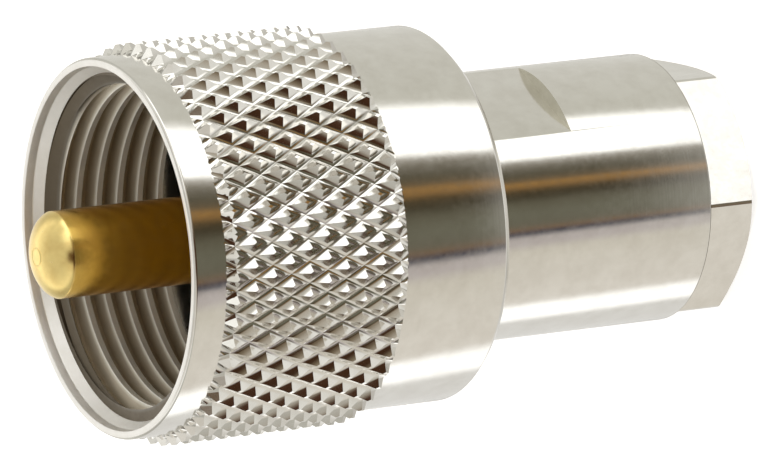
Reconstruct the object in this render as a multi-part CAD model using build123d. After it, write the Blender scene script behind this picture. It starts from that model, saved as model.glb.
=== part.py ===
from build123d import *
from math import asin, cos, pi, radians, sin, tan
import os

# Coaxial UHF plug of the clamp type, in millimetres.
# +Z runs along the cable axis from the cable end to the mating end.
# The origin is the centre of the clamp nut's rear face, on which the plug stands.
# +X is square to one of the two wrench flats on the body.

# Clamp nut at the cable end
hex_corner_step = 0.05
hex_corner_trim = 0.09
hex_height = 2.6
hex_chamfer_angle = 30
hex_turn = -4.8
cable_lead_in = 0.4
clamp_shank_length = 4.8
clamp_relief_depth = 0.4
clamp_relief_length = 0.6
clamp_seat_gap = 0.05

# Body
clamp_bore_lead = 0.3
barrel_wall = 1.3
barrel_edge = 0.15
flat_depth = 0.6
flats_setback = 6.55
flats_length = 5.75
web_thickness = 1.0
web_step = 0.5
front_bore_depth = 2.5
flange_height = 0.95
flange_thickness = 1.6
flange_edge = 0.2
sleeve_step = 1.1
sleeve_wall = 1.0
sleeve_length = 4.0
sleeve_edge = 0.25
key_width = 1.2
key_height = 0.9

# Coupling nut
thread_major_radius = 7.94
thread_height = 0.54
thread_pitch = 1.058
thread_end_depth = 6.7
mouth_step = 0.36
mouth_depth = 0.43
mouth_cone = 0.42
relief_step = 0.08
nut_wall = 0.76
nut_setback = 11.85
nut_length = 16.25
nut_rear_collar = 5.45
nut_front_collar = 1.6
nut_rear_edge = 0.35
nut_front_edge = 0.1
nut_lip_length = 2.7

# Diamond knurl on the coupling nut
knurl_height = 0.39
knurl_root_step = 0.11
knurl_end_step = 0.08
knurl_pitch = 1.07
knurl_angle = 30

# Retaining ring between body and coupling nut
ring_thickness = 0.8
ring_setback = 1.15
ring_body_depth = 0.45
ring_nut_depth = 0.6
ring_gap_angle = 34

# Centre contact
pin_radius = 2.0
pin_reach = 15.4
pin_dome_height = 0.9
pin_shoulder_angle = 45
contact_journal_step = 0.25
contact_shoulder_step = 0.35
contact_shoulder_length = 0.9
contact_tail_radius = 1.5
solder_bore_radius = 0.5
solder_bore_depth = 3.2

# Front insulator
insulator_proud = 0.2

# Cable clamping stack
washer_thickness = 0.7
washer_bore_step = 0.4
gasket_length = 2.8
gasket_wall = 2.35
gasket_grip = 0.2
gasket_groove_depth = 0.5
braid_flange_length = 1.1
braid_nose_length = 1.25
braid_nose_step = 0.35
dielectric_bore_radius = 1.6

# Clearances
running_clearance = 0.07
thread_clearance = 0.07
stack_clearance = 0.1
seat_clearance = 0.05
flange_clearance = 0.1
flange_pass_clearance = 0.2
ring_clearance = 0.1
braid_space = 0.3
shoulder_clearance = 0.5

# Radii that follow from the sizes above
thread_minor_radius = thread_major_radius - thread_height
nut_relief_radius = thread_major_radius + relief_step
nut_radius = thread_major_radius + nut_wall
flange_radius = thread_minor_radius - flange_pass_clearance
sleeve_radius = flange_radius - sleeve_step
barrel_radius = flange_radius - flange_height
clamp_bore_radius = barrel_radius - barrel_wall
shank_radius = clamp_bore_radius - thread_clearance
stack_radius = clamp_bore_radius - stack_clearance
gasket_bore_radius = stack_radius - gasket_wall
cable_bore_radius = gasket_bore_radius + gasket_grip
hex_corner_radius = barrel_radius - hex_corner_step
hex_face_radius = (hex_corner_radius + hex_corner_trim) * cos(radians(30))
contact_journal_radius = pin_radius + contact_journal_step
contact_shoulder_radius = contact_journal_radius + contact_shoulder_step
web_bore_radius = contact_shoulder_radius + shoulder_clearance
rear_bore_radius = web_bore_radius + web_step
ring_inner_radius = barrel_radius - ring_body_depth
ring_outer_radius = barrel_radius + ring_nut_depth

# Heights that follow from the sizes above
body_rear = hex_height + clamp_seat_gap
nut_rear = body_rear + nut_setback
nut_front = nut_rear + nut_length
lip_front = nut_rear + nut_lip_length
knurl_rear = nut_rear + nut_rear_collar
knurl_front = nut_front - nut_front_collar
ring_rear = nut_rear + ring_setback
ring_front = ring_rear + ring_thickness
flange_rear = lip_front + flange_clearance
flange_front = flange_rear + flange_thickness
sleeve_front = flange_front + sleeve_length
front_bore_floor = flange_front - front_bore_depth
web_rear = front_bore_floor - web_thickness
shank_front = hex_height + clamp_shank_length
washer_rear = shank_front + seat_clearance
gasket_rear = washer_rear + washer_thickness + seat_clearance
gasket_front = gasket_rear + gasket_length
braid_rear = gasket_front + seat_clearance
braid_flange_front = braid_rear + braid_flange_length
braid_nose_front = braid_flange_front + braid_nose_length
braid_seat_start = braid_flange_front + braid_space
rear_bore_start = braid_nose_front + seat_clearance
insulator_front = flange_front + insulator_proud
journal_front = insulator_front + seat_clearance
shoulder_front = front_bore_floor - seat_clearance
shoulder_rear = shoulder_front - contact_shoulder_length
tail_rear = rear_bore_start + seat_clearance
pin_tip = flange_front + pin_reach
dome_base = pin_tip - pin_dome_height


def turned(points, arc=360):
    # Solid of revolution about the cable axis from (radius, height) corners.
    outline = Polyline(*[(r, 0, z) for r, z in points], close=True)
    return revolve(make_face(outline), Axis.Z, revolution_arc=arc)


def tube(inner, outer, rear, front):
    return turned([(inner, rear), (outer, rear), (outer, front), (inner, front)])


def hex_head():
    # Hexagon with turned corners and a cone that leaves a round rear face.
    hexagon = RegularPolygon(hex_face_radius, 6, major_radius=False, rotation=hex_turn)
    head = extrude(hexagon, hex_height)
    cone_rise = (hex_corner_radius - hex_face_radius) * tan(radians(hex_chamfer_angle))
    envelope = turned([(0, 0), (hex_face_radius, 0), (hex_corner_radius, cone_rise),
                       (hex_corner_radius, hex_height), (0, hex_height)])
    return head & envelope


def clamp_nut():
    relief_radius = shank_radius - clamp_relief_depth
    relief_front = hex_height + clamp_relief_length
    lead = clamp_bore_lead
    shank = turned([(0, hex_height), (relief_radius, hex_height), (relief_radius, relief_front),
                    (shank_radius, relief_front), (shank_radius, shank_front - lead),
                    (shank_radius - lead, shank_front), (0, shank_front)])
    bore = turned([(0, 0), (cable_bore_radius + cable_lead_in, 0), (cable_bore_radius, cable_lead_in),
                   (cable_bore_radius, shank_front), (0, shank_front)])
    return hex_head() + shank - bore


def slip_washer():
    bore = cable_bore_radius + washer_bore_step
    return tube(bore, stack_radius, washer_rear, washer_rear + washer_thickness)


def cable_gasket():
    # Rubber ring with a V groove in its front face for the braid clamp to bite.
    middle = (stack_radius + gasket_bore_radius) / 2
    groove = [(middle + gasket_groove_depth, gasket_front),
              (middle, gasket_front - gasket_groove_depth),
              (middle - gasket_groove_depth, gasket_front)]
    return turned([(gasket_bore_radius, gasket_rear), (stack_radius, gasket_rear),
                   (stack_radius, gasket_front), *groove, (gasket_bore_radius, gasket_front)])


def braid_clamp():
    # Flanged ferrule whose cone squeezes the cable braid against the body's tapered seat.
    nose_radius = stack_radius - braid_nose_step
    tip_radius = rear_bore_radius - braid_space
    return turned([(dielectric_bore_radius, braid_rear), (stack_radius, braid_rear),
                   (stack_radius, braid_flange_front), (nose_radius, braid_flange_front),
                   (tip_radius, braid_nose_front), (dielectric_bore_radius, braid_nose_front)])


def rear_insulator():
    outer = rear_bore_radius - seat_clearance
    return tube(contact_tail_radius + seat_clearance, outer, tail_rear, web_rear - seat_clearance)


def front_insulator():
    outer = sleeve_radius - sleeve_wall - seat_clearance
    bore = contact_journal_radius + seat_clearance
    return tube(bore, outer, front_bore_floor + seat_clearance, insulator_front)


def centre_contact():
    # One turned contact: solder bucket, shoulder, journal and mating pin with a domed end.
    steps = [(solder_bore_radius, tail_rear), (contact_tail_radius, tail_rear),
             (contact_tail_radius, shoulder_rear), (contact_shoulder_radius, shoulder_rear),
             (contact_shoulder_radius, shoulder_front), (contact_journal_radius, shoulder_front),
             (contact_journal_radius, journal_front), (pin_radius, journal_front), (pin_radius, dome_base)]
    stem = Polyline(*[(r, 0, z) for r, z in steps])
    # The dome follows an oval: a round shoulder, then a flatter crown.
    turn = radians(pin_shoulder_angle)
    crown_edge = pin_radius * cos(turn)
    crown_rise = pin_dome_height * (1 - sin(turn))
    crown_radius = (crown_edge ** 2 + crown_rise ** 2) / (2 * crown_rise)
    half_way = asin(crown_edge / crown_radius) / 2
    shoulder_middle = (pin_radius * cos(turn / 2), 0, dome_base + pin_dome_height * sin(turn / 2))
    crown_start = (crown_edge, 0, pin_tip - crown_rise)
    crown_middle = (crown_radius * sin(half_way), 0, pin_tip - crown_radius * (1 - cos(half_way)))
    shoulder = ThreePointArc((pin_radius, 0, dome_base), shoulder_middle, crown_start)
    crown = ThreePointArc(crown_start, crown_middle, (0, 0, pin_tip))
    bore_top = tail_rear + solder_bore_depth
    inside = Polyline((0, 0, pin_tip), (0, 0, bore_top), (solder_bore_radius, 0, bore_top),
                      (solder_bore_radius, 0, tail_rear))
    return revolve(make_face(stem + shoulder + crown + inside), Axis.Z)


def body_profile():
    groove_radius = ring_inner_radius - seat_clearance
    groove_rear = ring_rear - seat_clearance
    groove_front = ring_front + seat_clearance
    sleeve_bore = sleeve_radius - sleeve_wall
    return [(clamp_bore_radius + clamp_bore_lead, body_rear),
            (barrel_radius - barrel_edge, body_rear),
            (barrel_radius, body_rear + barrel_edge),
            (barrel_radius, groove_rear),
            (groove_radius, groove_rear),
            (groove_radius, groove_front),
            (barrel_radius, groove_front),
            (barrel_radius, flange_rear),
            (flange_radius, flange_rear),
            (flange_radius, flange_front - flange_edge),
            (flange_radius - flange_edge, flange_front),
            (sleeve_radius, flange_front),
            (sleeve_radius, sleeve_front - sleeve_edge),
            (sleeve_radius - sleeve_edge, sleeve_front),
            (sleeve_bore, sleeve_front),
            (sleeve_bore, front_bore_floor),
            (web_bore_radius, front_bore_floor),
            (web_bore_radius, web_rear),
            (rear_bore_radius, web_rear),
            (rear_bore_radius, rear_bore_start),
            (clamp_bore_radius, braid_seat_start),
            (clamp_bore_radius, body_rear + clamp_bore_lead)]


def wrench_flat_cutter(side):
    middle = body_rear + flats_setback + flats_length / 2
    return Pos(side * barrel_radius, 0, middle) * Box(2 * flat_depth, 2 * barrel_radius, flats_length)


def locating_key(side):
    # Tooth on the flange that drops into a notch in the rim of the mating socket.
    inner = sleeve_radius - sleeve_wall / 2
    outer = flange_radius - flange_edge
    middle = side * (inner + outer) / 2
    return Pos(0, middle, flange_front + key_height / 2) * Box(key_width, outer - inner, key_height)


def body_shell():
    shell = turned(body_profile())
    for side in (-1, 1):
        shell = shell - wrench_flat_cutter(side) + locating_key(side)
    return shell


def retaining_ring():
    # Open spring ring that sits half in the body's groove and half in the nut's.
    ring = turned([(ring_inner_radius, ring_rear), (ring_outer_radius, ring_rear),
                   (ring_outer_radius, ring_front), (ring_inner_radius, ring_front)],
                  arc=360 - ring_gap_angle)
    return Rot(0, 0, ring_gap_angle / 2) * ring


def thread_turns(front, rear):
    # Turns of the coupling thread as plain rings, from the mouth inwards.
    crest = thread_pitch / 4
    flank = (thread_pitch - crest - thread_pitch / 8) / 2
    corners = []
    for turn in range(int((front - rear) / thread_pitch)):
        start = front - turn * thread_pitch
        corners += [(thread_major_radius, start),
                    (thread_minor_radius, start - flank),
                    (thread_minor_radius, start - flank - crest),
                    (thread_major_radius, start - 2 * flank - crest)]
    return corners


def nut_profile():
    lip_radius = barrel_radius + running_clearance
    groove_radius = ring_outer_radius + ring_clearance
    groove_rear = ring_rear - ring_clearance
    groove_front = ring_front + ring_clearance
    thread_rear = nut_front - thread_end_depth
    thread_front = nut_front - mouth_depth - mouth_cone
    mouth_radius = thread_major_radius + mouth_step
    return [(lip_radius, nut_rear),
            (nut_radius - nut_rear_edge, nut_rear),
            (nut_radius, nut_rear + nut_rear_edge),
            (nut_radius, nut_front - nut_front_edge),
            (nut_radius - nut_front_edge, nut_front),
            (mouth_radius, nut_front),
            (mouth_radius, nut_front - mouth_depth),
            *thread_turns(thread_front, thread_rear),
            (thread_major_radius, thread_rear),
            (nut_relief_radius, thread_rear),
            (nut_relief_radius, lip_front),
            (lip_radius, lip_front),
            (lip_radius, groove_front),
            (groove_radius, groove_front),
            (groove_radius, groove_rear),
            (lip_radius, groove_rear)]


def ring_of_points(radii, height):
    step = 2 * pi / len(radii)
    return [Vector(r * cos(i * step), r * sin(i * step), height) for i, r in enumerate(radii)]


def facet(*corners):
    return Face(Wire.make_polygon(corners, close=True))


def knurl_rings():
    # Crests and groove crossings alternate round each ring and swap from ring to ring.
    root = nut_radius + knurl_root_step
    crest = root + knurl_height
    around = 2 * round(2 * pi * crest / knurl_pitch)
    spacing = knurl_pitch / 2 / tan(radians(knurl_angle))
    length = knurl_front - knurl_rear
    columns = int(length / spacing - 0.5) + 1
    first = knurl_rear + (length - (columns - 1) * spacing) / 2
    end = [nut_radius + knurl_end_step] * around
    rings = [ring_of_points(end, knurl_rear)]
    for column in range(columns):
        radii = [crest if (i + column) % 2 == 0 else root for i in range(around)]
        rings.append(ring_of_points(radii, first + column * spacing))
    rings.append(ring_of_points(end, knurl_front))
    return rings


def knurl_facets(rings):
    # Each quad between two rings is folded along the groove that joins its two low corners.
    facets = []
    around = len(rings[0])
    for level, (lower, upper) in enumerate(zip(rings, rings[1:])):
        for i in range(around):
            j = (i + 1) % around
            if (i + level) % 2 == 0:
                facets.append(facet(lower[i], lower[j], upper[j]))
                facets.append(facet(lower[i], upper[j], upper[i]))
            else:
                facets.append(facet(lower[i], lower[j], upper[i]))
                facets.append(facet(lower[j], upper[j], upper[i]))
    return facets


def knurl_band():
    # Closed ring of pyramids whose smooth inside lies within the wall of the nut.
    rings = knurl_rings()
    core = (nut_radius + nut_relief_radius) / 2
    inner_rear = ring_of_points([core] * (len(rings[0]) // 2), knurl_rear)
    inner_front = ring_of_points([core] * (len(rings[0]) // 2), knurl_front)
    faces = knurl_facets(rings)
    for outer, inner in ((rings[0], inner_rear), (rings[-1], inner_front)):
        hole = Wire.make_polygon(inner, close=True)
        faces.append(Face(Wire.make_polygon(outer, close=True), [hole]))
    for i in range(len(inner_rear)):
        j = (i + 1) % len(inner_rear)
        faces.append(facet(inner_rear[i], inner_rear[j], inner_front[j], inner_front[i]))
    return Solid(Shell(faces))


def coupling_nut():
    return turned(nut_profile()) + knurl_band()


pieces = {
    "coupling_nut": coupling_nut(),
    "nut_retaining_ring": retaining_ring(),
    "body_shell": body_shell(),
    "front_insulator": front_insulator(),
    "rear_insulator": rear_insulator(),
    "centre_contact": centre_contact(),
    "braid_clamp": braid_clamp(),
    "cable_gasket": cable_gasket(),
    "slip_washer": slip_washer(),
    "clamp_nut": clamp_nut(),
}

os.makedirs("parts", exist_ok=True)
for name, piece in pieces.items():
    export_step(piece, f"parts/{name}.step")
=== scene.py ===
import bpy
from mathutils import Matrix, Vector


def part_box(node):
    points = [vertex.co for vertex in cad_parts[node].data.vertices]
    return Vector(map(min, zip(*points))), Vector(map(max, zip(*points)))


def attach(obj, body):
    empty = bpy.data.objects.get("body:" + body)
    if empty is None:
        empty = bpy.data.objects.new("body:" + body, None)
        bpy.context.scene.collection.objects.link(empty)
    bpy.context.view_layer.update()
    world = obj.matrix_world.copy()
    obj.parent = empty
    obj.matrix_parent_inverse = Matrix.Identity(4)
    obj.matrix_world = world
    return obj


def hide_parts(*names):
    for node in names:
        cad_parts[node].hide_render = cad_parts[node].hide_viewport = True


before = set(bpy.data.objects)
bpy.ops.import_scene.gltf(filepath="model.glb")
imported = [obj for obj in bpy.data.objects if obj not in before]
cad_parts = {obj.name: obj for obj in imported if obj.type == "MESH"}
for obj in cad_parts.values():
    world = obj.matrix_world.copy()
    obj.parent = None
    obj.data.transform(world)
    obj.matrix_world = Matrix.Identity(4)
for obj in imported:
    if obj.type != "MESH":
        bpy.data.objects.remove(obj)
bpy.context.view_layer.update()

from math import atan2, cos, pi, radians, sin, tan

import bmesh
import bpy
from mathutils import Matrix, Vector

mm = 0.001  # pieces are drawn in millimetres and made metres when they are finished
turnSteps = 216  # facets round a large turned piece
smallSteps = 128  # facets round the contact and the pieces inside
threadSteps = 144  # facets in one turn of a thread
mergeDistance = 0.002  # points nearer than this become one
close = 0.001  # lengths that differ by less count as equal
slack = 0.01  # takes in what lies just on a limit
centre = (0, 0, 0)
axis = (0, 0, 1)
scene = bpy.context.scene


# Mesh tools
def lathe(bm, outline, steps=turnSteps, closed=True):
    # turns (radius, height) corners round the axis; an open outline has both ends on the axis
    corners = [bm.verts.new((r, 0, z)) for r, z in outline]
    pairs = list(zip(corners, corners[1:]))
    if closed:
        pairs.append((corners[-1], corners[0]))
    edges = [bm.edges.new(pair) for pair in pairs]
    bmesh.ops.spin(bm, geom=corners + edges, cent=centre, axis=axis, angle=2 * pi, steps=steps,
                   use_merge=True)
    bmesh.ops.remove_doubles(bm, verts=bm.verts, dist=mergeDistance)


def cutBeyond(bm, height, side):
    # takes off what lies above a height (side 1) or below it (side -1)
    geom = bm.verts[:] + bm.edges[:] + bm.faces[:]
    return bmesh.ops.bisect_plane(bm, geom=geom, plane_co=(0, 0, height), plane_no=(0, 0, side),
                                  clear_outer=True)


def screwThread(bm, tooth, pitch, low, high, lag=0):
    # one ridge swept right-handed past both ends, then cut square at low and high;
    # lag lowers the sweep, which turns the place where the thread starts
    ridge = bmesh.new()
    face = ridge.faces.new([ridge.verts.new((r, 0, low - pitch - lag + z)) for r, z in tooth])
    turns = round((high - low + lag) / pitch + 2)
    bmesh.ops.spin(ridge, geom=[face], cent=centre, axis=axis, angle=turns * 2 * pi,
                   dvec=(0, 0, pitch / threadSteps), steps=turns * threadSteps)
    for height, side in ((low, -1), (high, 1)):
        rim = [e for e in cutBeyond(ridge, height, side)["geom_cut"] if isinstance(e, bmesh.types.BMEdge)]
        bmesh.ops.holes_fill(ridge, edges=rim, sides=0)
    addMesh(bm, ridge)


def addMesh(bm, other):
    # puts another shape, with its faces turned outwards, into the piece
    bmesh.ops.recalc_face_normals(other, faces=other.faces)
    holder = bpy.data.meshes.new("holder")
    other.to_mesh(holder)
    other.free()
    bm.from_mesh(holder)
    bpy.data.meshes.remove(holder)


def roundEdges(bm, width, low=-1e9, high=1e9, sharpest=25):
    # softens the turned corners between two heights that are sharper than an angle in degrees
    def turned(e):
        a, b = (v.co for v in e.verts)
        level = abs(a.z - b.z) < close / 10 and abs(a.xy.length - b.xy.length) < close
        return level and low <= a.z <= high and e.is_manifold and e.calc_face_angle() > radians(sharpest)
    bmesh.ops.bevel(bm, geom=[e for e in bm.edges if turned(e)], offset=width, segments=2,
                    profile=0.5, affect="EDGES", material=-1, clamp_overlap=True)


def finishPiece(name, bm, material, body, node, sharp=28, zones=()):
    # zones: (finish, test of a face) for parts of the piece with another finish; sharp is in degrees
    bmesh.ops.remove_doubles(bm, verts=bm.verts, dist=mergeDistance / 4)
    bmesh.ops.recalc_face_normals(bm, faces=bm.faces)
    for number, (_, belongs) in enumerate(zones, start=1):
        for f in bm.faces:
            if belongs(f.calc_center_median()):
                f.material_index = number
    bmesh.ops.scale(bm, vec=(mm, mm, mm), verts=bm.verts)
    mesh = bpy.data.meshes.new(name)
    bm.to_mesh(mesh)
    bm.free()
    mesh.shade_smooth()
    mesh.set_sharp_from_angle(angle=radians(sharp))
    for finish in (material, *(finish for finish, _ in zones)):
        mesh.materials.append(finish)
    piece = bpy.data.objects.new(name, mesh)
    scene.collection.objects.link(piece)
    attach(piece, body)
    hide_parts(node)
    print(name, len(mesh.polygons), "faces")


def millFlats(bm, count, distance, low, high, turn):
    # cuts flats square to the axis, one after another, with a block larger than the cut
    deep, wide, tall = 4, 20, high - low
    for i in range(count):
        block = bmesh.new()
        bmesh.ops.create_cube(block, size=1)
        bmesh.ops.scale(block, vec=(deep, wide, tall), verts=block.verts)
        bmesh.ops.translate(block, vec=(distance + deep / 2, 0, low + tall / 2), verts=block.verts)
        spot = Matrix.Rotation(radians(turn + i * 360 / count), 3, "Z")
        bmesh.ops.rotate(block, cent=centre, matrix=spot, verts=block.verts)
        cutAway(bm, block)


def cutAway(bm, block):
    # takes a closed block out of the piece
    solids = []
    for part in (bm, block):
        mesh = bpy.data.meshes.new("blank")
        part.to_mesh(mesh)
        solids.append(bpy.data.objects.new("blank", mesh))
        scene.collection.objects.link(solids[-1])
    block.free()
    cutter = solids[0].modifiers.new("cut", "BOOLEAN")
    cutter.operation = "DIFFERENCE"
    cutter.solver = "EXACT"
    cutter.object = solids[1]
    graph = bpy.context.evaluated_depsgraph_get()
    cut = bpy.data.meshes.new_from_object(solids[0].evaluated_get(graph))
    bm.clear()
    bm.from_mesh(cut)
    for solid in solids:
        mesh = solid.data
        bpy.data.objects.remove(solid)
        bpy.data.meshes.remove(mesh)
    bpy.data.meshes.remove(cut)


# Finishes
def startMaterial(name):
    material = bpy.data.materials.new(name)
    material.use_nodes = True
    nodes = material.node_tree.nodes
    links = material.node_tree.links
    return material, nodes, links, nodes["Principled BSDF"]


def noise(nodes, links, source, scale, detail=3, rough=0.5):
    node = nodes.new("ShaderNodeTexNoise")
    node.inputs["Scale"].default_value = scale
    node.inputs["Detail"].default_value = detail
    node.inputs["Roughness"].default_value = rough
    links.new(source, node.inputs["Vector"])
    return node.outputs["Fac"]


def ramp(nodes, links, source, stops):
    # colours along a value from 0 to 1
    node = nodes.new("ShaderNodeValToRGB")
    band = node.color_ramp
    band.elements[0].position, band.elements[0].color = stops[0][0], (*stops[0][1], 1)
    band.elements[1].position, band.elements[1].color = stops[-1][0], (*stops[-1][1], 1)
    for place, colour in stops[1:-1]:
        band.elements.new(place).color = (*colour, 1)
    links.new(source, node.inputs["Fac"])
    return node.outputs["Color"]


def spread(nodes, links, source, low, high, start=0.3, end=0.7):
    # low where the value is at start, high where it is at end
    node = nodes.new("ShaderNodeMapRange")
    node.inputs["From Min"].default_value = start
    node.inputs["From Max"].default_value = end
    node.inputs["To Min"].default_value = low
    node.inputs["To Max"].default_value = high
    links.new(source, node.inputs["Value"])
    return node.outputs["Result"]


def blend(nodes, links, share, first, second):
    # from the first colour to the second; the second may be a plain colour
    node = nodes.new("ShaderNodeMix")
    node.data_type = "RGBA"
    links.new(share, node.inputs["Factor"])
    links.new(first, node.inputs["A"])
    if isinstance(second, tuple):
        node.inputs["B"].default_value = (*second, 1)
    else:
        links.new(second, node.inputs["B"])
    return node.outputs["Result"]


def bump(nodes, links, height, depth, under=None):
    node = nodes.new("ShaderNodeBump")
    node.inputs["Strength"].default_value = 1
    node.inputs["Distance"].default_value = depth * mm
    links.new(height, node.inputs["Height"])
    if under is not None:
        links.new(under, node.inputs["Normal"])
    return node.outputs["Normal"]


def turnedPattern(nodes, links):
    # (radius, height) of a point, so that a pattern on it makes rings as a lathe tool does
    place = nodes.new("ShaderNodeTexCoord").outputs["Object"]
    split = nodes.new("ShaderNodeSeparateXYZ")
    links.new(place, split.inputs[0])
    flat = nodes.new("ShaderNodeCombineXYZ")
    links.new(split.outputs["X"], flat.inputs["X"])
    links.new(split.outputs["Y"], flat.inputs["Y"])
    reach = nodes.new("ShaderNodeVectorMath")
    reach.operation = "LENGTH"
    links.new(flat.outputs[0], reach.inputs[0])
    both = nodes.new("ShaderNodeCombineXYZ")
    links.new(reach.outputs["Value"], both.inputs["X"])
    links.new(split.outputs["Z"], both.inputs["Y"])
    return place, both.outputs[0]


def turnedMetal(name, pale, deep, smooth, dull, ringDepth, waveDepth, metallic=1):
    material, nodes, links, shader = startMaterial(name)
    place, rings = turnedPattern(nodes, links)
    shader.inputs["Metallic"].default_value = metallic
    tone = noise(nodes, links, place, 900, 4, 0.6)
    links.new(ramp(nodes, links, tone, [(0.35, deep), (0.65, pale)]), shader.inputs["Base Color"])
    wear = noise(nodes, links, place, 2600, 5, 0.7)
    links.new(spread(nodes, links, wear, smooth, dull), shader.inputs["Roughness"])
    fine = bump(nodes, links, noise(nodes, links, rings, 9000, 2), ringDepth)
    wavy = bump(nodes, links, noise(nodes, links, place, 1400), waveDepth, fine)
    links.new(wavy, shader.inputs["Normal"])
    return material


def mouldedFinish(name, pale, deep, roughness, grainDepth, grainScale):
    material, nodes, links, shader = startMaterial(name)
    place, rings = turnedPattern(nodes, links)
    tone = noise(nodes, links, place, 1500, 4, 0.6)
    links.new(ramp(nodes, links, tone, [(0.3, deep), (0.7, pale)]), shader.inputs["Base Color"])
    shader.inputs["Roughness"].default_value = roughness
    grain = bump(nodes, links, noise(nodes, links, place, grainScale, 5, 0.6), grainDepth)
    cut = bump(nodes, links, noise(nodes, links, rings, 7000, 1, 0.4), grainDepth / 2, grain)
    links.new(cut, shader.inputs["Normal"])
    return material


threadLook = {  # the crest-to-root tones go from a crest, 0, to a root, 1: a painted highlight on the crests and painted shade in the roots
    "metal": 0.8, "smooth": 0.34, "dull": 0.5, "toolMarks": 0.002,
    # the next tone is painted shade on the first thread flank, laid on up to the given share
    "flankShade": (0.05, 0.035, 0.02), "flankShadeShare": 0.8,
    "litCrestToShadedRoot": [(0.0, (0.96, 0.94, 0.88)), (0.12, (0.78, 0.75, 0.66)), (0.3, (0.56, 0.50, 0.40)),
                    (1.0, (0.46, 0.40, 0.30))],
}


def threadPaintedLightFinish(crest, root, low, high):
    # a painted highlight on the crests, painted shade in the roots, and painted shade on the first flank, which
    # starts between two heights
    look = threadLook
    material, nodes, links, shader = startMaterial("nickelThreadShaded")
    place, rings = turnedPattern(nodes, links)
    shader.inputs["Metallic"].default_value = look["metal"]
    split = nodes.new("ShaderNodeSeparateXYZ")
    links.new(rings, split.inputs[0])
    # painted highlight on the crests, painted shade towards the roots
    depth = spread(nodes, links, split.outputs["X"], 0, 1, crest * mm, root * mm)
    tone = ramp(nodes, links, depth, look["litCrestToShadedRoot"])
    # painted shade on the first flank, where the ridge above would shade it
    firstFlankShade = spread(nodes, links, split.outputs["Y"], 0, look["flankShadeShare"], low * mm, high * mm)
    links.new(blend(nodes, links, firstFlankShade, tone, look["flankShade"]), shader.inputs["Base Color"])
    wear = noise(nodes, links, place, 2200, 5, 0.7)
    links.new(spread(nodes, links, wear, look["smooth"], look["dull"]), shader.inputs["Roughness"])
    marks = noise(nodes, links, rings, 12000, 2)
    links.new(bump(nodes, links, marks, look["toolMarks"]), shader.inputs["Normal"])
    return material


goldLook = {  # upward: tones from the low height, 0, to the high one, 1, both in millimetres; painted shade makes the shank deeper and a painted highlight makes the dome pale
    "low": 29.0, "high": 34.2, "smooth": 0.17, "dull": 0.28, "ringDepth": 0.0008, "waveDepth": 0.002,
    "stain": (0.62, 0.36, 0.09), "stainShare": 0.35,
    "upward": [(0.0, (0.78, 0.40, 0.03)), (0.6, (0.78, 0.45, 0.07)), (0.82, (0.74, 0.50, 0.12)),
               (0.85, (0.96, 0.76, 0.31))],
}


def goldPaintedLightFinish():
    # polished; a painted highlight makes the dome pale and painted shade makes the shank deeper, with faint
    # stains
    look = goldLook
    material, nodes, links, shader = startMaterial("goldPlate")
    place, rings = turnedPattern(nodes, links)
    shader.inputs["Metallic"].default_value = 1
    split = nodes.new("ShaderNodeSeparateXYZ")
    links.new(place, split.inputs[0])
    # painted highlight on the dome and painted shade down the shank, set by height
    height = spread(nodes, links, split.outputs["Z"], 0, 1, look["low"] * mm, look["high"] * mm)
    tone = ramp(nodes, links, height, look["upward"])
    stains = noise(nodes, links, place, 1200, 5, 0.65)
    share = spread(nodes, links, stains, 0, look["stainShare"], 0.4, 0.75)
    links.new(blend(nodes, links, share, tone, look["stain"]), shader.inputs["Base Color"])
    wear = noise(nodes, links, place, 2600, 5, 0.7)
    links.new(spread(nodes, links, wear, look["smooth"], look["dull"]), shader.inputs["Roughness"])
    fine = bump(nodes, links, noise(nodes, links, rings, 9000, 2), look["ringDepth"])
    wavy = bump(nodes, links, noise(nodes, links, place, 1400), look["waveDepth"], fine)
    links.new(wavy, shader.inputs["Normal"])
    return material


nickelPlate = turnedMetal("nickelPlate", pale=(0.80, 0.785, 0.75), deep=(0.74, 0.72, 0.68),
                          smooth=0.10, dull=0.17, ringDepth=0.0006, waveDepth=0.0015)
nickelMilled = turnedMetal("nickelMilled", pale=(0.66, 0.64, 0.55), deep=(0.58, 0.56, 0.47),
                           smooth=0.30, dull=0.42, ringDepth=0.0008, waveDepth=0.001)
nickelSatin = turnedMetal("nickelSatin", pale=(0.95, 0.94, 0.92), deep=(0.90, 0.89, 0.86),
                          smooth=0.36, dull=0.48, ringDepth=0.0008, waveDepth=0.001, metallic=0.6)
springBronze = turnedMetal("springBronze", pale=(0.62, 0.44, 0.26), deep=(0.5, 0.33, 0.18),
                           smooth=0.25, dull=0.4, ringDepth=0.001, waveDepth=0.002)
whiteInsulator = mouldedFinish("whiteInsulator", pale=(0.86, 0.86, 0.83), deep=(0.78, 0.78, 0.74),
                               roughness=0.42, grainDepth=0.002, grainScale=3000)
blackRubber = mouldedFinish("blackRubber", pale=(0.035, 0.035, 0.035), deep=(0.018, 0.018, 0.018),
                            roughness=0.6, grainDepth=0.004, grainScale=4000)
goldPlate = goldPaintedLightFinish()

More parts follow.
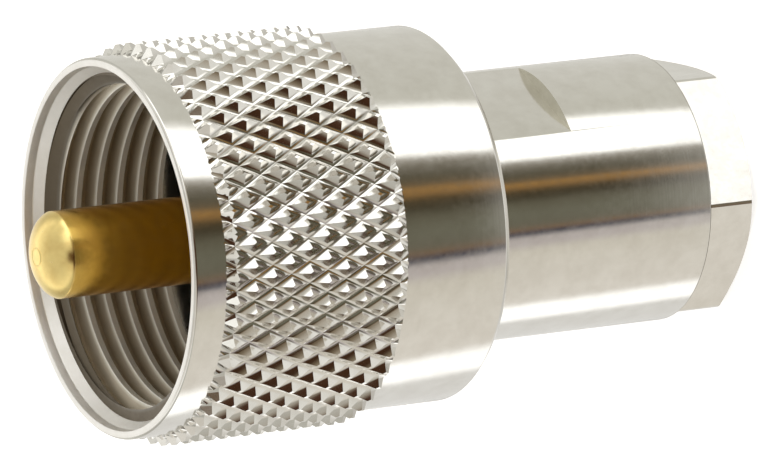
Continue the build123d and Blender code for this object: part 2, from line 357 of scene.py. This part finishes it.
# Coupling nut: sizes in millimetres, heights from the rear face or the front face of the nut
nut = {
    "radius": 8.7, "rearEdge": 0.35, "frontEdge": 0.1,
    "lipRadius": 6.32, "lipLength": 2.7, "ringGroove": 6.95, "grooveLow": 1.05, "grooveHigh": 2.05,
    "reliefRadius": 8.02, "threadMajor": 7.94, "threadMinor": 7.40, "pitch": 25.4 / 24,
    "threadDepth": 6.7, "threadLag": 0.2, "threadSunk": 0.03, "threadFlank": 30,
    # the first two depths below the thread's front bound where painted shade on the first thread flank fades in
    "flankShadeLow": 0.65, "flankShadeHigh": 0.5, "mouthRadius": 8.3, "mouthDepth": 0.43, "mouthCone": 0.42,
    "rearCollar": 5.45, "frontCollar": 1.6,
    "knurlRows": 54, "knurlRoot": 8.8, "knurlCrest": 9.19, "knurlAngle": 30, "groove": 0.04,
    "flankSteps": ((0.07, 0.025), (0.09, 0.07)), "crestBlunt": 0.03, "rounding": 0.04,
    "rimSpacing": 0.07, "collarStart": 0.06,
}
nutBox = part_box("coupling_nut")
nutRear, nutFront = nutBox[0].z / mm, nutBox[1].z / mm
knurlRear, knurlFront = nutRear + nut["rearCollar"], nutFront - nut["frontCollar"]


def knurlBand():
    # one pyramid on a diamond, repeated along a groove and then round the nut
    bm = bmesh.new()
    half = pi / nut["knurlRows"]
    root = nut["knurlRoot"]
    spacing = pi * nut["knurlCrest"] / nut["knurlRows"] / tan(radians(nut["knurlAngle"]))
    columns = int((knurlFront - knurlRear) / spacing - 0.5) + 1
    start = (knurlRear + knurlFront) / 2 - (columns + 1) / 2 * spacing
    across = root * half
    inner = across * spacing / (across ** 2 + spacing ** 2) ** 0.5
    corners = [(root, 0, start - spacing), (root * cos(half), root * sin(half), start),
               (root, 0, start + spacing), (root * cos(half), -root * sin(half), start)]
    tile = bm.faces.new([bm.verts.new(corner) for corner in corners])
    bmesh.ops.inset_individual(bm, faces=[tile], thickness=nut["groove"], depth=0, use_even_offset=True)
    rise = nut["knurlCrest"] - root
    slope = inner - nut["groove"] - nut["crestBlunt"]
    for width, height in nut["flankSteps"]:  # the flanks steepen from the groove to the crest
        bmesh.ops.inset_individual(bm, faces=[tile], thickness=width, depth=height, use_even_offset=True)
        rise -= height
        slope -= width
    bmesh.ops.inset_individual(bm, faces=[tile], thickness=slope, depth=rise, use_even_offset=True)
    everything = bm.verts[:] + bm.edges[:] + bm.faces[:]
    bmesh.ops.spin(bm, geom=everything, cent=centre, axis=axis, dvec=(0, 0, spacing),
                   angle=half * (columns + 1), steps=columns + 1, use_duplicate=True)
    everything = bm.verts[:] + bm.edges[:] + bm.faces[:]
    copies = nut["knurlRows"] - 1
    bmesh.ops.spin(bm, geom=everything, cent=centre, axis=axis, angle=2 * half * copies, steps=copies,
                   use_duplicate=True)
    bmesh.ops.remove_doubles(bm, verts=bm.verts, dist=mergeDistance)
    return bm


def circleAt(bm, height):
    # brings the cut edge of the knurl down to the nut's smooth radius and returns its loop
    def cutEdges():
        return [e for e in bm.edges if e.is_boundary and abs(e.verts[0].co.z - height) < close]
    rim = {v for e in cutEdges() for v in e.verts}
    rim = sorted(rim, key=lambda v: atan2(v.co.y, v.co.x))  # in order round the nut, alike in each run
    for v in rim:
        v.co.xy = v.co.xy.normalized() * nut["radius"]
    bmesh.ops.remove_doubles(bm, verts=rim, dist=nut["rimSpacing"])
    return cutEdges()


def growLoop(bm, loop, outline):
    # carries a ring of edges through (radius, height) corners
    for r, z in outline:
        grown = bmesh.ops.extrude_edge_only(bm, edges=loop)["geom"]
        verts = [v for v in grown if isinstance(v, bmesh.types.BMVert)]
        loop = [e for e in grown if isinstance(e, bmesh.types.BMEdge)]
        start = verts[0].co.copy()
        bmesh.ops.scale(bm, vec=(r / start.xy.length, r / start.xy.length, 1), verts=verts)
        bmesh.ops.translate(bm, vec=(0, 0, z - start.z), verts=verts)
    return loop


def couplingNut():
    n = nut
    bm = knurlBand()
    cutBeyond(bm, knurlRear, -1)
    cutBeyond(bm, knurlFront, 1)
    threadRear = nutFront - n["threadDepth"]
    mouthFloor = nutFront - n["mouthDepth"]
    threadFront = mouthFloor - n["mouthCone"]
    lipFront = nutRear + n["lipLength"]
    grooveLow, grooveHigh = nutRear + n["grooveLow"], nutRear + n["grooveHigh"]
    inside = [(n["radius"], knurlRear - n["collarStart"]), (n["radius"], nutRear + n["rearEdge"]),
              (n["radius"] - n["rearEdge"], nutRear), (n["lipRadius"], nutRear), (n["lipRadius"], grooveLow),
              (n["ringGroove"], grooveLow), (n["ringGroove"], grooveHigh), (n["lipRadius"], grooveHigh),
              (n["lipRadius"], lipFront), (n["reliefRadius"], lipFront), (n["reliefRadius"], threadRear),
              (n["threadMajor"], threadRear)]
    outside = [(n["radius"], knurlFront + n["collarStart"]), (n["radius"], nutFront - n["frontEdge"]),
               (n["radius"] - n["frontEdge"], nutFront), (n["mouthRadius"], nutFront),
               (n["mouthRadius"], mouthFloor), (n["threadMajor"], threadFront)]
    rearLoop = growLoop(bm, circleAt(bm, knurlRear), inside)
    frontLoop = growLoop(bm, circleAt(bm, knurlFront), outside)
    bmesh.ops.bridge_loops(bm, edges=rearLoop + frontLoop)
    bmesh.ops.recalc_face_normals(bm, faces=bm.faces)
    roundEdges(bm, n["rounding"], high=knurlRear - 1)
    roundEdges(bm, n["rounding"], low=nutFront - 1)
    pitch, sunk = n["pitch"], n["threadSunk"]
    foot = pitch * 7 / 16 + sunk * tan(radians(n["threadFlank"]))
    tip = pitch / 8
    tooth = [(n["threadMajor"] + sunk, -foot), (n["threadMinor"], -tip),
             (n["threadMinor"], tip), (n["threadMajor"] + sunk, foot)]
    screwThread(bm, tooth, pitch, threadRear, threadFront, n["threadLag"])
    for v in bm.verts:  # the mouth's cone also cuts the first thread
        least = n["threadMajor"] - (threadFront - v.co.z)
        reach = v.co.xy.length
        if threadRear + pitch < v.co.z <= threadFront and n["threadMinor"] - slack < reach < least:
            v.co.xy *= least / reach
    # the thread gets a painted highlight on its crests and painted shade in its roots and on its first flank
    nickelThreadShaded = threadPaintedLightFinish(n["threadMinor"], n["threadMajor"],
                                threadFront - n["flankShadeLow"], threadFront - n["flankShadeHigh"])

    def onRim(spot):
        return spot.z > threadFront - slack and spot.xy.length < n["radius"] - n["frontEdge"]

    def inThread(spot):
        return threadRear - slack < spot.z < threadFront and spot.xy.length < n["reliefRadius"] + slack

    finishPiece("couplingNut", bm, nickelPlate, "coupling_nut", "coupling_nut",
                zones=((nickelSatin, onRim), (nickelThreadShaded, inThread)))


# Body: heights from its rear face
body = {
    "barrel": 6.25, "bore": 4.95, "boreLead": 0.3, "rearEdge": 0.025, "ringGroove": 5.75,
    "ringLow": 12.95, "ringHigh": 13.85,
    "flangeLow": 14.65, "flangeHigh": 16.25, "flange": 7.2, "flangeEdge": 0.2,
    "sleeve": 6.1, "sleeveBore": 5.1, "sleeveHigh": 20.25, "sleeveEdge": 0.25,
    "frontFloor": 13.75, "webBore": 3.1, "webLow": 12.75, "rearBore": 3.6, "coneTop": 10.95, "coneLow": 10.0,
    "flatDepth": 0.6, "flatLow": 6.55, "flatHigh": 12.3, "rounding": 0.04,
    "keyWidth": 1.2, "keyHeight": 0.9, "keyInset": 0.5, "keySunk": 0.02, "keyEdge": 0.08,
}
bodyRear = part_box("body_shell")[0].z / mm


def bodyShell():
    b = body
    outline = [(b["bore"] + b["boreLead"], 0), (b["barrel"] - b["rearEdge"], 0), (b["barrel"], b["rearEdge"]),
               (b["barrel"], b["ringLow"]), (b["ringGroove"], b["ringLow"]), (b["ringGroove"], b["ringHigh"]),
               (b["barrel"], b["ringHigh"]), (b["barrel"], b["flangeLow"]), (b["flange"], b["flangeLow"]),
               (b["flange"], b["flangeHigh"] - b["flangeEdge"]),
               (b["flange"] - b["flangeEdge"], b["flangeHigh"]),
               (b["sleeve"], b["flangeHigh"]), (b["sleeve"], b["sleeveHigh"] - b["sleeveEdge"]),
               (b["sleeve"] - b["sleeveEdge"], b["sleeveHigh"]), (b["sleeveBore"], b["sleeveHigh"]),
               (b["sleeveBore"], b["frontFloor"]), (b["webBore"], b["frontFloor"]), (b["webBore"], b["webLow"]),
               (b["rearBore"], b["webLow"]), (b["rearBore"], b["coneTop"]), (b["bore"], b["coneLow"]),
               (b["bore"], b["boreLead"])]
    bm = bmesh.new()
    lathe(bm, [(r, bodyRear + z) for r, z in outline])
    bmesh.ops.recalc_face_normals(bm, faces=bm.faces)
    roundEdges(bm, b["rounding"], high=bodyRear + 1)
    roundEdges(bm, b["rounding"], low=bodyRear + b["flangeLow"])
    flats = (bodyRear + b["flatLow"], bodyRear + b["flatHigh"])
    millFlats(bm, 2, b["barrel"] - b["flatDepth"], flats[0], flats[1], 0)
    for side in (-1, 1):  # keys that drop into the notches of the socket
        low, high = b["sleeveBore"] + b["keyInset"], b["flange"] - b["flangeEdge"]
        key = bmesh.new()
        bmesh.ops.create_cube(key, size=1)
        bmesh.ops.scale(key, vec=(b["keyWidth"], high - low, b["keyHeight"]), verts=key.verts)
        spot = (0, side * (low + high) / 2, bodyRear + b["flangeHigh"] + b["keyHeight"] / 2 - b["keySunk"])
        bmesh.ops.translate(key, vec=spot, verts=key.verts)
        bmesh.ops.bevel(key, geom=key.edges[:], offset=b["keyEdge"], segments=2, profile=0.5, affect="EDGES",
                        material=-1)
        addMesh(bm, key)

    def milled(spot):  # the step at the rear end of the flats
        return abs(spot.z - flats[0]) < slack and spot.xy.length > b["bore"] + 0.2

    finishPiece("bodyShell", bm, nickelPlate, "plug_body", "body_shell",
                zones=((nickelMilled, milled),))


# Clamp nut: heights from its rear face
clamp = {
    "flatDistance": 5.447, "corner": 6.245, "headHeight": 2.648, "chamferAngle": 30, "hexTurn": 25.2,
    "bore": 2.7, "boreLead": 0.4, "shank": 4.88, "shankRoot": 4.5, "relief": 4.48, "reliefHigh": 3.2,
    "shankHigh": 7.4, "shankLead": 0.3, "shankEdge": 0.05,
    "pitch": 0.75, "threadSunk": 0.03, "threadShort": 0.02,
}


def clampNut():
    c = clamp
    face = c["flatDistance"]
    rise = (c["corner"] - face) * tan(radians(c["chamferAngle"]))
    outline = [(c["bore"] + c["boreLead"], 0), (face, 0), (c["corner"], rise),
               (c["corner"], c["headHeight"]), (c["relief"], c["headHeight"]),
               (c["relief"], c["reliefHigh"]), (c["shankRoot"], c["reliefHigh"]),
               (c["shankRoot"], c["shankHigh"] - c["shankEdge"]),
               (c["shankRoot"] - c["shankEdge"], c["shankHigh"]),
               (c["bore"], c["shankHigh"]), (c["bore"], c["boreLead"])]
    bm = bmesh.new()
    lathe(bm, outline)
    bmesh.ops.recalc_face_normals(bm, faces=bm.faces)
    millFlats(bm, 6, face, -1, c["headHeight"] - close, c["hexTurn"])  # from just below the head
    pitch = c["pitch"]
    foot, tip = pitch * 7 / 16, pitch / 16
    base = c["shankRoot"] - c["threadSunk"]
    tooth = [(base, -foot), (c["shank"], -tip), (c["shank"], tip), (base, foot)]
    screwThread(bm, tooth, pitch, c["reliefHigh"], c["shankHigh"] - c["threadShort"])
    leadLow = c["shankHigh"] - c["shankLead"]
    for v in bm.verts:  # lead at the front of the thread
        most = max(c["shank"] - (v.co.z - leadLow), c["shankRoot"])
        if v.co.z > leadLow and v.co.xy.length > most:
            v.co.xy *= most / v.co.xy.length
    finishPiece("clampNut", bm, nickelPlate, "clamp_nut", "clamp_nut", sharp=12)


# Centre contact: heights are the part's own
contact = {
    "radius": 2.0, "domeHeight": 0.95, "domeOval": 2.06, "domeEdge": 0.03, "journal": 2.25, "shoulder": 2.6,
    "tail": 1.5, "solderBore": 0.5, "solderDepth": 3.2, "shoulderLength": 0.9, "shoulderTop": 16.35,
    "journalTop": 19.15, "domeSteps": 16, "nubRadius": 0.42, "nubWidth": 0.05, "nubHeight": 0.02,
}


def centreContact():
    c = contact
    rear, tip = (corner.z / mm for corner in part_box("centre_contact"))
    base = tip - c["domeHeight"]
    nubs = [(c["nubRadius"] + w, h) for w, h in ((c["nubWidth"], 0), (0, -c["nubHeight"]), (-c["nubWidth"], 0))]

    def ovalShare(r):
        return (1 - (r / c["domeOval"]) ** 2) ** 0.5

    def capHeight(r):  # an oval wider than the pin, so that the dome meets the shank at an edge
        return tip - c["domeHeight"] * (1 - ovalShare(r)) / (1 - ovalShare(c["radius"]))

    cap = [c["radius"] * cos(i / c["domeSteps"] * pi / 2) for i in range(c["domeSteps"])]
    points = [(r, capHeight(r)) for r in cap if abs(r - c["nubRadius"]) > 2 * c["nubWidth"]]
    points += [(r, capHeight(r) + h) for r, h in nubs]
    points.sort(key=lambda point: -point[0])
    shoulderLow = c["shoulderTop"] - c["shoulderLength"]
    bucket = rear + c["solderDepth"]
    outline = [(0, bucket), (c["solderBore"], bucket), (c["solderBore"], rear), (c["tail"], rear),
               (c["tail"], shoulderLow), (c["shoulder"], shoulderLow), (c["shoulder"], c["shoulderTop"]),
               (c["journal"], c["shoulderTop"]), (c["journal"], c["journalTop"]),
               (c["radius"], c["journalTop"]), *points, (0, tip)]
    bm = bmesh.new()
    lathe(bm, outline, smallSteps, closed=False)
    bmesh.ops.recalc_face_normals(bm, faces=bm.faces)
    roundEdges(bm, c["domeEdge"], low=base - slack, high=base + slack, sharpest=20)  # only the dome's foot
    finishPiece("centreContact", bm, goldPlate, "plug_body", "centre_contact", sharp=18)


# Inner pieces: each outline is (radius, height) from the piece's own rear face
inner = {
    "frontInsulator": {"node": "front_insulator", "body": "plug_body", "slot": "insulator_white",
                       "outline": [(2.3, 0), (5.05, 0), (5.05, 2.65), (2.3, 2.65)], "rounding": 0.08},
    "rearInsulator": {"node": "rear_insulator", "body": "plug_body", "slot": "insulator_white",
                      "outline": [(1.55, 0), (3.55, 0), (3.55, 1.85), (1.55, 1.85)], "rounding": 0.08},
    "braidClamp": {"node": "braid_clamp", "body": "clamp_stack", "slot": "nickel_clamp",
                   "outline": [(1.6, 0), (4.85, 0), (4.85, 1.1), (4.5, 1.1), (3.3, 2.35), (1.6, 2.35)],
                   "rounding": 0.04},
    "cableGasket": {"node": "cable_gasket", "body": "clamp_stack", "slot": "gasket_rubber",
                    "outline": [(2.5, 0), (4.85, 0), (4.85, 2.8), (4.175, 2.8), (3.675, 2.3), (3.175, 2.8),
                                (2.5, 2.8)], "rounding": 0.1},
    "slipWasher": {"node": "slip_washer", "body": "clamp_stack", "slot": "nickel_clamp",
                   "outline": [(3.1, 0), (4.85, 0), (4.85, 0.7), (3.1, 0.7)], "rounding": 0.06},
}
innerFinish = {"insulator_white": whiteInsulator, "nickel_clamp": nickelPlate, "gasket_rubber": blackRubber}
springRing = {"inside": 5.8, "outside": 6.85, "thickness": 0.8, "gapAngle": 34, "steps": 120}


def innerPieces():
    for name, facts in inner.items():
        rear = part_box(facts["node"])[0].z / mm
        bm = bmesh.new()
        lathe(bm, [(r, rear + z) for r, z in facts["outline"]], smallSteps)
        bmesh.ops.recalc_face_normals(bm, faces=bm.faces)
        roundEdges(bm, facts["rounding"])
        finishPiece(name, bm, innerFinish[facts["slot"]], facts["body"], facts["node"])


def retainingRing():
    s = springRing
    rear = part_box("nut_retaining_ring")[0].z / mm
    front = rear + s["thickness"]
    outline = [(s["inside"], rear), (s["outside"], rear), (s["outside"], front), (s["inside"], front)]
    bm = bmesh.new()
    section = bm.faces.new([bm.verts.new((r, 0, z)) for r, z in outline])
    bmesh.ops.spin(bm, geom=[section], cent=centre, axis=axis, angle=radians(360 - s["gapAngle"]),
                   steps=s["steps"])
    bmesh.ops.recalc_face_normals(bm, faces=bm.faces)
    opening = Matrix.Rotation(radians(s["gapAngle"] / 2), 3, "Z")  # its gap is centred on +X
    bmesh.ops.rotate(bm, cent=centre, matrix=opening, verts=bm.verts)
    finishPiece("nutRetainingRing", bm, springBronze, "plug_body", "nut_retaining_ring")


couplingNut()
bodyShell()
clampNut()
centreContact()
innerPieces()
retainingRing()
print("pieces made")

# Camera: fitted to the object's edges in the photograph. Angles in degrees, distances in millimetres,
# centreOffset, focal and width in pixels of the photograph, nearest in metres.
shot = {
    "azimuth": -53.2, "offAxis": 62.11, "roll": -96.61, "distance": 426.5, "aimHeight": 17.0,
    "centreOffset": (-13.55, -15.32), "focal": 9283, "width": 773, "sensor": 36, "nearest": 0.01,
}


def photoCamera():
    turn, tilt = radians(shot["azimuth"]), radians(shot["offAxis"])
    away = Vector((cos(turn) * sin(tilt), sin(turn) * sin(tilt), cos(tilt)))
    forward = -away
    right = forward.cross(Vector(axis)).normalized()
    up = right.cross(forward)
    roll = radians(shot["roll"])
    across = cos(roll) * right + sin(roll) * up
    upward = cos(roll) * up - sin(roll) * right
    place = (Vector((0, 0, shot["aimHeight"])) + away * shot["distance"]) * mm
    offX, offY = shot["centreOffset"]
    look = (forward - across * offX / shot["focal"] + upward * offY / shot["focal"]).normalized()
    across = look.cross(upward).normalized()
    upward = across.cross(look)
    data = bpy.data.cameras.new("photoCamera")
    data.sensor_width = shot["sensor"]
    data.lens = shot["focal"] * shot["sensor"] / shot["width"]
    data.clip_start = shot["nearest"]
    camera = bpy.data.objects.new("photoCamera", data)
    camera.matrix_world = Matrix((across, upward, -look)).transposed().to_4x4()
    camera.location = place
    scene.collection.objects.link(camera)
    scene.camera = camera


# Studio: a pale floor and a lightbox whose tone changes with the direction round the object.
# Each level has the upward share of a direction, -1 to 1, and tones by angle: degrees from the
# camera's side, positive towards the top of the picture. Two pairs of levels share a band.
studio = {
    "levels": [
        (-0.86, [(-180, (0.60, 0.58, 0.54)), (-110, (0.66, 0.64, 0.60)), (-70, (0.85, 0.84, 0.79)),
                 (0, (0.95, 0.94, 0.90)), (70, (0.85, 0.84, 0.79)), (110, (0.66, 0.64, 0.60)),
                 (180, (0.60, 0.58, 0.54))]),
        (-0.62, "side"),
        (-0.25, "side"),
        (0.0, "front"),
        (0.30, "front"),
        (0.48, [(-180, (1.4, 1.37, 1.3)), (-110, (1.1, 1.1, 1.06)), (-60, (0.95, 0.92, 0.86)),
                (-32, (0.70, 0.64, 0.54)), (-21, (0.07, 0.03, 0.012)), (0, (0.07, 0.03, 0.012)),
                (12, (0.60, 0.55, 0.46)), (30, (0.95, 0.93, 0.88)), (36, (1.6, 1.6, 1.55)),
                (60, (1.5, 1.5, 1.46)), (76, (0.80, 0.78, 0.70)), (110, (0.9, 0.9, 0.86)),
                (180, (1.4, 1.37, 1.3))]),
        (0.72, [(-180, (0.85, 0.83, 0.79)), (-36, (0.74, 0.71, 0.65)), (-22, (0.14, 0.09, 0.05)),
                (0, (0.14, 0.09, 0.05)), (12, (0.70, 0.67, 0.61)), (40, (1.1, 1.1, 1.06)),
                (64, (1.1, 1.1, 1.06)), (84, (0.76, 0.74, 0.69)), (180, (0.85, 0.83, 0.79))]),
        (0.9, [(-180, (0.66, 0.64, 0.60)), (180, (0.66, 0.64, 0.60))]),
    ],
    "front": [(-180, (1.15, 1.12, 1.06)), (-150, (0.62, 0.61, 0.56)), (-130, (0.48, 0.47, 0.43)),
              (-66, (0.58, 0.57, 0.52)), (-46, (0.50, 0.47, 0.41)), (-40, (0.32, 0.27, 0.21)),
              (-33, (0.07, 0.03, 0.015)), (-3, (0.05, 0.022, 0.01)), (9, (0.22, 0.17, 0.11)),
              (24, (0.50, 0.45, 0.37)), (42, (0.60, 0.58, 0.52)), (46, (1.7, 1.7, 1.66)),
              (92, (1.7, 1.7, 1.66)), (99, (0.62, 0.61, 0.55)), (120, (0.6, 0.59, 0.54)),
              (150, (0.62, 0.61, 0.56)), (180, (1.15, 1.12, 1.06))],
    "side": [(-180, (1.1, 1.08, 1.04)), (-166, (0.80, 0.79, 0.76)), (-126, (0.80, 0.79, 0.76)),
             (-120, (1.5, 1.5, 1.48)), (-104, (1.5, 1.5, 1.48)), (-98, (0.84, 0.80, 0.73)),
             (-60, (0.78, 0.74, 0.66)), (-44, (0.72, 0.68, 0.59)), (-38, (0.56, 0.51, 0.50)),
             (-32, (0.60, 0.55, 0.52)), (-30, (0.04, 0.05, 0.08)), (-27.5, (0.04, 0.045, 0.07)),
             (-25.5, (0.26, 0.16, 0.09)), (-22, (0.16, 0.15, 0.11)), (-12, (0.17, 0.165, 0.12)),
             (-3, (0.14, 0.13, 0.09)), (3, (0.06, 0.05, 0.03)), (8, (0.07, 0.055, 0.03)),
             (11, (0.28, 0.16, 0.06)), (14, (0.42, 0.23, 0.07)), (17, (0.14, 0.11, 0.07)),
             (22, (0.10, 0.09, 0.06)), (29, (0.20, 0.18, 0.14)), (34, (0.42, 0.39, 0.33)),
             (36.5, (1.7, 1.7, 1.66)), (66, (1.7, 1.7, 1.66)), (73, (0.66, 0.65, 0.58)),
             (166, (0.74, 0.73, 0.68)), (180, (1.1, 1.08, 1.04))],
    "strength": 1.0,
    "floorSize": 1.2, "floorTone": (0.93, 0.93, 0.93), "floorRoughness": 0.9, "floorGlow": 0.6,
}


def lightbox():
    world = bpy.data.worlds.new("lightbox")
    world.use_nodes = True
    scene.world = world
    nodes, links = world.node_tree.nodes, world.node_tree.links
    way = nodes.new("ShaderNodeTexCoord").outputs["Generated"]
    turn = nodes.new("ShaderNodeVectorRotate")
    turn.rotation_type = "Z_AXIS"
    turn.inputs["Angle"].default_value = -radians(shot["azimuth"])
    links.new(way, turn.inputs["Vector"])
    split = nodes.new("ShaderNodeSeparateXYZ")
    links.new(turn.outputs[0], split.inputs[0])
    angle = nodes.new("ShaderNodeMath")
    angle.operation = "ARCTAN2"
    links.new(split.outputs["Y"], angle.inputs[0])
    links.new(split.outputs["X"], angle.inputs[1])
    share = spread(nodes, links, angle.outputs[0], 0, 1, -pi, pi)
    tone, under = None, None
    for height, band in studio["levels"]:
        if isinstance(band, str):
            band = studio[band]
        stops = [((degrees + 180) / 360, colour) for degrees, colour in band]
        colour = ramp(nodes, links, share, stops)
        if tone is not None:
            upward = spread(nodes, links, split.outputs["Z"], 0, 1, under, height)
            colour = blend(nodes, links, upward, tone, colour)
        tone, under = colour, height
    light = nodes["Background"]
    light.inputs["Strength"].default_value = studio["strength"]
    links.new(tone, light.inputs["Color"])


def paleFloor():
    bm = bmesh.new()
    bmesh.ops.create_grid(bm, x_segments=1, y_segments=1, size=studio["floorSize"] / 2)
    mesh = bpy.data.meshes.new("floor")
    bm.to_mesh(mesh)
    bm.free()
    material, _, _, shader = startMaterial("paleFloor")
    shader.inputs["Base Color"].default_value = (*studio["floorTone"], 1)
    shader.inputs["Roughness"].default_value = studio["floorRoughness"]
    shader.inputs["Emission Color"].default_value = (1, 1, 1, 1)
    shader.inputs["Emission Strength"].default_value = studio["floorGlow"]
    mesh.materials.append(material)
    floor = bpy.data.objects.new("floor", mesh)
    scene.collection.objects.link(floor)
    floor.visible_glossy = False  # the metal shows the lightbox, not the table


photoCamera()
lightbox()
paleFloor()
scene.view_settings.view_transform = "Standard"
print("studio made")
